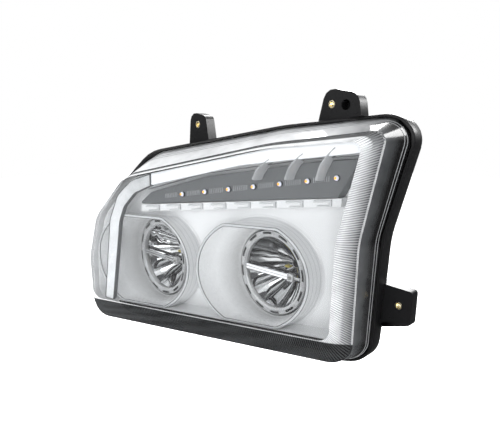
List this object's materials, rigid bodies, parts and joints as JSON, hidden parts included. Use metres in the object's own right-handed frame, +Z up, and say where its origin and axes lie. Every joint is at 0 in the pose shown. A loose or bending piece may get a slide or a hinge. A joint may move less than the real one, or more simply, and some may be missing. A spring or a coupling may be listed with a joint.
{
  "type": "vehicle headlight",
  "caption": "Swept twin-lamp headlight with clear lens, pale shrouds, signal strip, black housing, mounting tabs, rear caps and aiming screws.",
  "frame": {"origin": "rear face of the upper outboard tab, beside its threaded insert (mount_top_outboard)", "axes": "+X outboard, -Y the way the light is thrown, +Z up"},
  "size_m": [0.4516, 0.2997, 0.3735],
  "materials": {
    "black_moulding": "glossy black moulding",
    "clear_lens": "clear hard-coated lens",
    "rubber_black": "matt rubber",
    "brass_insert": "machined",
    "pale_trim": "satin silver-white",
    "grey_panel": "fine satin",
    "light_guide_white": "opal",
    "light_guide_clear": "frosted clear",
    "board_green": "solder mask",
    "diode_amber": "clear with amber core",
    "chrome_bright": "mirror vacuum coating",
    "phosphor_yellow": "phosphor",
    "cast_aluminium": "as cast",
    "grey_nylon": "glass-filled nylon",
    "plated_steel": "zinc plated"
  },
  "bodies": {
    "lamp_body": {"housing": "black_moulding", "outer_lens": "clear_lens", "lens_seal": "rubber_black", "insert_top_inboard": "brass_insert", "insert_top_outboard": "brass_insert", "insert_side": "brass_insert", "inner_bezel": "pale_trim", "signal_panel": "grey_panel", "shelf_trim": "pale_trim", "daylight_bar": "light_guide_white", "daylight_tail": "light_guide_clear", "gill_fin_1": "pale_trim", "gill_fin_2": "pale_trim", "gill_fin_3": "pale_trim", "signal_board": "board_green", "signal_led_1": "diode_amber", "signal_led_2": "diode_amber", "signal_led_3": "diode_amber", "signal_led_4": "diode_amber", "signal_led_5": "diode_amber", "signal_led_6": "diode_amber", "signal_led_7": "diode_amber", "yoke_outboard": "grey_nylon", "yoke_inboard": "grey_nylon", "vent_cap_1": "rubber_black", "vent_cap_2": "rubber_black", "driver_module": "cast_aluminium", "driver_gasket": "rubber_black", "driver_screw_1": "plated_steel", "driver_screw_2": "plated_steel", "driver_screw_3": "plated_steel", "driver_screw_4": "plated_steel", "connector_socket": "black_moulding", "connector_blades": "brass_insert", "cable_outboard": "rubber_black", "cable_inboard": "rubber_black"},
    "beam_module_outboard": {"module_ring_outboard": "chrome_bright", "upper_reflector_outboard": "chrome_bright", "lower_reflector_outboard": "chrome_bright", "led_blade_outboard": "chrome_bright", "upper_emitter_outboard": "phosphor_yellow", "lower_emitter_outboard": "phosphor_yellow", "heat_sink_outboard": "cast_aluminium", "carrier_outboard": "grey_nylon"},
    "aiming_rod_outboard": {"aiming_rod_outboard": "plated_steel"},
    "aiming_knob_outboard": {"aiming_knob_outboard": "grey_nylon"},
    "rear_cap_outboard": {"rear_cap_outboard": "black_moulding", "cap_seal_outboard": "rubber_black"},
    "beam_module_inboard": {"module_ring_inboard": "chrome_bright", "upper_reflector_inboard": "chrome_bright", "lower_reflector_inboard": "chrome_bright", "led_blade_inboard": "chrome_bright", "upper_emitter_inboard": "phosphor_yellow", "lower_emitter_inboard": "phosphor_yellow", "heat_sink_inboard": "cast_aluminium", "carrier_inboard": "grey_nylon"},
    "aiming_rod_inboard": {"aiming_rod_inboard": "plated_steel"},
    "aiming_knob_inboard": {"aiming_knob_inboard": "grey_nylon"},
    "rear_cap_inboard": {"rear_cap_inboard": "black_moulding", "cap_seal_inboard": "rubber_black"}
  },
  "joints": [
    {"name": "beam_tilt_outboard", "type": "hinge", "parent": "lamp_body", "child": "beam_module_outboard", "pos_m": [-0.064, -0.02, -0.211], "axis": [1, 0, 0], "range_deg": [-3, 3]},
    {"name": "aim_rod_slide_outboard", "type": "slide", "parent": "lamp_body", "child": "aiming_rod_outboard", "axis": [0, 1, 0], "range_m": [-0.0038, 0.0038]},
    {"name": "aim_knob_turn_outboard", "type": "hinge", "parent": "lamp_body", "child": "aiming_knob_outboard", "pos_m": [-0.064, 0.07, -0.281], "axis": [0, 1, 0], "range_deg": [-445, 445]},
    {"name": "rear_cap_twist_outboard", "type": "hinge", "parent": "lamp_body", "child": "rear_cap_outboard", "pos_m": [-0.064, 0.095, -0.211], "axis": [0, 1, 0], "range_deg": [0, 30]},
    {"name": "beam_tilt_inboard", "type": "hinge", "parent": "lamp_body", "child": "beam_module_inboard", "pos_m": [-0.24, -0.078, -0.211], "axis": [1, 0, 0], "range_deg": [-3, 3]},
    {"name": "aim_rod_slide_inboard", "type": "slide", "parent": "lamp_body", "child": "aiming_rod_inboard", "axis": [0, 1, 0], "range_m": [-0.0038, 0.0038]},
    {"name": "aim_knob_turn_inboard", "type": "hinge", "parent": "lamp_body", "child": "aiming_knob_inboard", "pos_m": [-0.24, 0.012, -0.281], "axis": [0, 1, 0], "range_deg": [-445, 445]},
    {"name": "rear_cap_twist_inboard", "type": "hinge", "parent": "lamp_body", "child": "rear_cap_inboard", "pos_m": [-0.24, 0.037, -0.211], "axis": [0, 1, 0], "range_deg": [0, 30]}
  ],
  "couplings": [
    {"joint": "aim_rod_slide_outboard", "follows": "beam_tilt_outboard", "m_per_rad": 0.07},
    {"joint": "aim_knob_turn_outboard", "follows": "beam_tilt_outboard", "ratio": 146.61},
    {"joint": "aim_rod_slide_inboard", "follows": "beam_tilt_inboard", "m_per_rad": 0.07},
    {"joint": "aim_knob_turn_inboard", "follows": "beam_tilt_inboard", "ratio": 146.61}
  ]
}
